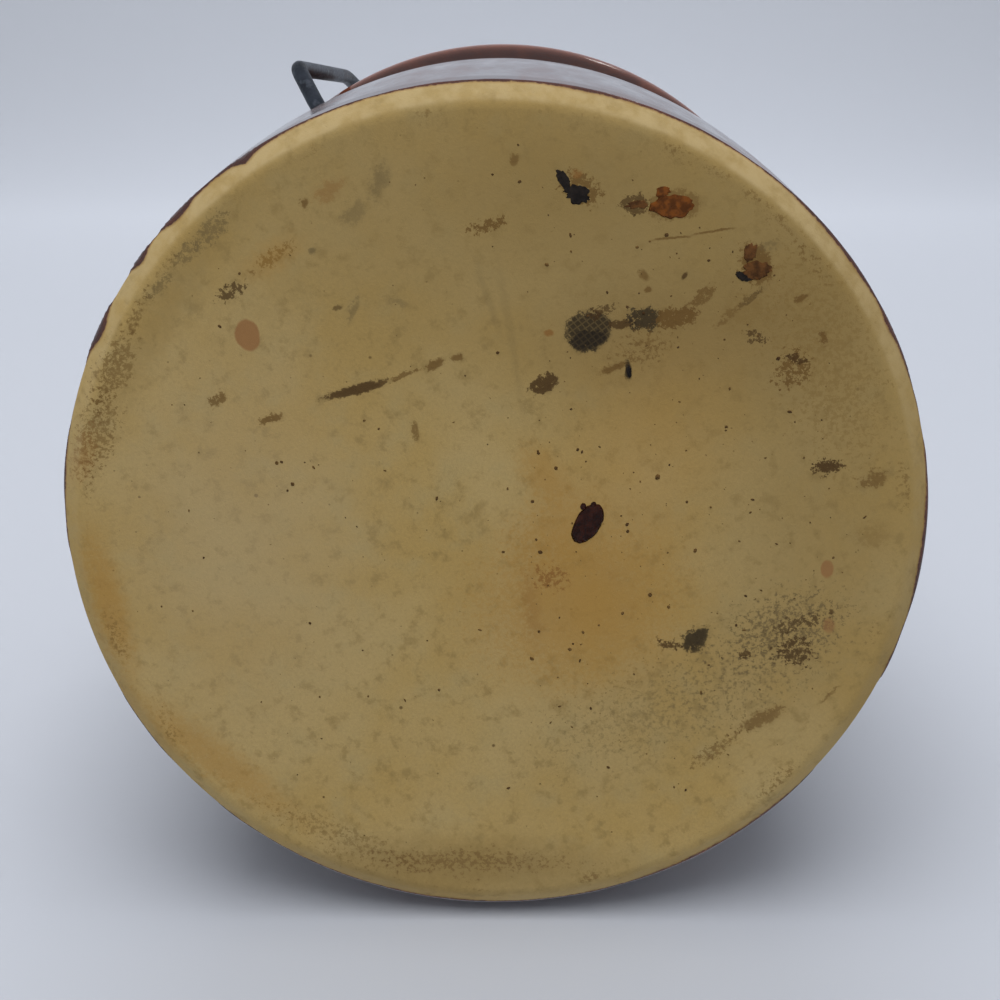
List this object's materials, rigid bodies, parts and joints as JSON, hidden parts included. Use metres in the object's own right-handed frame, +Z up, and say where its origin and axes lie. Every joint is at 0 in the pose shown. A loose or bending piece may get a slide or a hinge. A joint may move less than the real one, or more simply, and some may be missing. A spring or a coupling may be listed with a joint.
{
  "type": "stoneware crock",
  "caption": "Brown-glazed stoneware crock with softly swelling sides, a bare buff base, a rolled rim, a drop-in lid with a knob and a swinging wire bail.",
  "frame": {"origin": "centre of the bare base, on the surface that the crock stands on", "axes": "+Z up the crock's axis to the lid, X through the two bail sockets, Y across the bail"},
  "size_m": [0.1518, 0.1346, 0.1745],
  "materials": {
    "glazed_stoneware": "glossy dark brown glaze on the wall, rim and inside, bare matt buff clay on the base and foot",
    "lid_stoneware": "glossy dark brown glaze on top, bare buff clay on the seat and the locating ring",
    "bail_wire": "heavy round steel wire, darkened and dull with age"
  },
  "bodies": {
    "crock": {"crock_body": "glazed_stoneware"},
    "lid": {"crock_lid": "lid_stoneware"},
    "bail": {"bail": "bail_wire"}
  },
  "joints": [
    {"name": "bail_swing", "type": "hinge", "parent": "crock", "child": "bail", "pos_m": [0, 0, 0.0806], "axis": [1, 0, 0], "range_deg": [-133, 133]},
    {"name": "lid_lift", "type": "slide", "parent": "crock", "child": "lid", "axis": [0, 0, 1], "range_m": [0, 0.016]}
  ]
}
